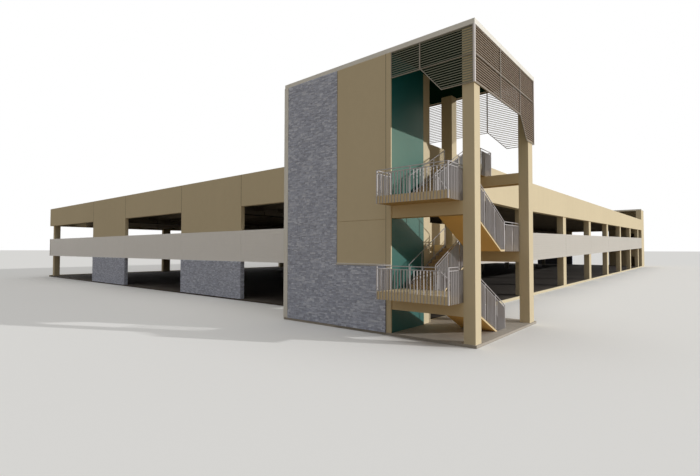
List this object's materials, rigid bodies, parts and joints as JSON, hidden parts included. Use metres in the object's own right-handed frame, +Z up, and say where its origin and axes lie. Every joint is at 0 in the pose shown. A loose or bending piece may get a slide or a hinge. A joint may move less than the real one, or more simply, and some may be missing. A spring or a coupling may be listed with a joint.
{
  "type": "multi storey car park, 1:10 scale model",
  "caption": "Open-sided parking deck building on columns, with white and tan facade bands and a corner stair tower with louvre screens, as a one to ten scale model",
  "frame": {"origin": "on the ground, under the middle of the parking decks' footprint", "axes": "+X runs along the long sides from the stair tower towards the far tower, +Y across the decks, +Z up"},
  "size_m": [9.955, 5.84, 1.218],
  "materials": {
    "deck_concrete": "matt",
    "guard_steel": "satin",
    "ledge_stone": "rough",
    "louvre_bronze": "satin",
    "pale_trim": "satin",
    "slab_concrete": "matt",
    "stair_steel": "satin",
    "tan_render": "matt",
    "teal_paint": "matt",
    "teal_soffit": "satin",
    "white_panel": "matt"
  },
  "bodies": {
    "root": {"balcony_guards": "guard_steel", "balcony_slabs": "tan_render", "corner_columns": "tan_render", "east_parapet": "tan_render", "east_screen_slats": "louvre_bronze", "east_white_band": "white_panel", "far_tower_floors": "deck_concrete", "far_tower_roof": "pale_trim", "far_tower_walls": "tan_render", "far_tower_west_wall": "tan_render", "flight_guards": "guard_steel", "ground_slab": "slab_concrete", "inner_beams": "deck_concrete", "inner_columns": "deck_concrete", "landing_beams": "tan_render", "landing_guards": "guard_steel", "level_2_decks": "deck_concrete", "level_2_landing": "tan_render", "north_columns": "tan_render", "north_parapet": "tan_render", "north_white_band": "white_panel", "rear_columns": "tan_render", "roof_canopy": "teal_soffit", "roof_decks": "deck_concrete", "roof_fascia": "pale_trim", "roof_landing": "tan_render", "screen_corner_posts": "guard_steel", "screen_frames": "guard_steel", "south_columns": "tan_render", "south_parapet": "tan_render", "south_screen_slats": "louvre_bronze", "south_white_band": "white_panel", "stair_columns": "tan_render", "stair_soffits": "tan_render", "stair_stringers": "stair_steel", "stair_treads": "deck_concrete", "stone_walls": "ledge_stone", "tan_column": "tan_render", "teal_wall": "teal_paint", "tower_fin": "pale_trim", "tower_floor": "slab_concrete", "tower_inner_wall": "tan_render", "tower_pilaster": "tan_render", "tower_stone_base": "ledge_stone", "tower_stone_wall": "ledge_stone", "tower_tan_wall": "tan_render", "wall_panels": "tan_render", "west_parapet": "tan_render", "west_screen_slats": "louvre_bronze", "west_white_band": "white_panel"}
  },
  "joints": []
}
